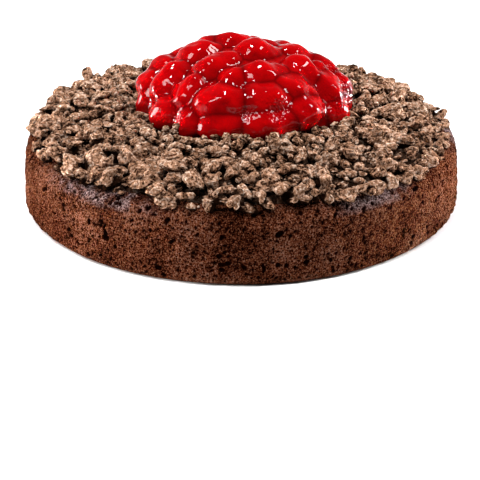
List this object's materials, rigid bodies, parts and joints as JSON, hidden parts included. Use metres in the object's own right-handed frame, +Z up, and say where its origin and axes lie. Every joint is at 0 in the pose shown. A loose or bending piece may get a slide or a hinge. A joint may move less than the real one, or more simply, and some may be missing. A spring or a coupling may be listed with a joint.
{
  "type": "chocolate strawberry cake",
  "caption": "Round single-layer chocolate cake with a chocolate crumble top and a mound of glazed strawberries in red jelly.",
  "frame": {"origin": "centre of the flat underside of the cake", "axes": "+Z up through the cake's middle, front towards -Y, right towards +X"},
  "size_m": [0.24, 0.24, 0.0857],
  "materials": {
    "sponge": "porous baked chocolate crumb, matte",
    "crumble": "dry rough chocolate crumbs, dusty matte",
    "jelly": "clear red fruit glaze, wet gloss",
    "fruit": "ripe strawberry flesh under glaze, wet gloss"
  },
  "bodies": {
    "root": {"sponge": "sponge", "chocolate_crumble": "crumble", "fruit_jelly": "jelly", "strawberry_01": "fruit", "strawberry_02": "fruit", "strawberry_03": "fruit", "strawberry_04": "fruit", "strawberry_05": "fruit", "strawberry_06": "fruit", "strawberry_07": "fruit", "strawberry_08": "fruit", "strawberry_09": "fruit", "strawberry_10": "fruit", "strawberry_11": "fruit", "strawberry_12": "fruit", "strawberry_13": "fruit", "strawberry_14": "fruit", "strawberry_15": "fruit", "strawberry_16": "fruit", "strawberry_17": "fruit", "strawberry_18": "fruit", "strawberry_19": "fruit", "strawberry_20": "fruit", "strawberry_21": "fruit", "strawberry_22": "fruit", "strawberry_23": "fruit", "strawberry_24": "fruit", "strawberry_25": "fruit", "strawberry_26": "fruit", "strawberry_27": "fruit", "strawberry_28": "fruit", "strawberry_29": "fruit", "strawberry_30": "fruit", "strawberry_31": "fruit", "strawberry_32": "fruit", "strawberry_33": "fruit", "strawberry_34": "fruit", "strawberry_35": "fruit", "strawberry_36": "fruit", "strawberry_37": "fruit", "strawberry_38": "fruit", "strawberry_39": "fruit", "strawberry_40": "fruit", "strawberry_41": "fruit", "strawberry_42": "fruit", "strawberry_43": "fruit", "strawberry_44": "fruit", "strawberry_45": "fruit", "strawberry_46": "fruit", "strawberry_47": "fruit", "strawberry_48": "fruit", "strawberry_49": "fruit", "strawberry_50": "fruit", "strawberry_51": "fruit", "strawberry_52": "fruit", "strawberry_53": "fruit", "strawberry_54": "fruit"}
  },
  "joints": []
}
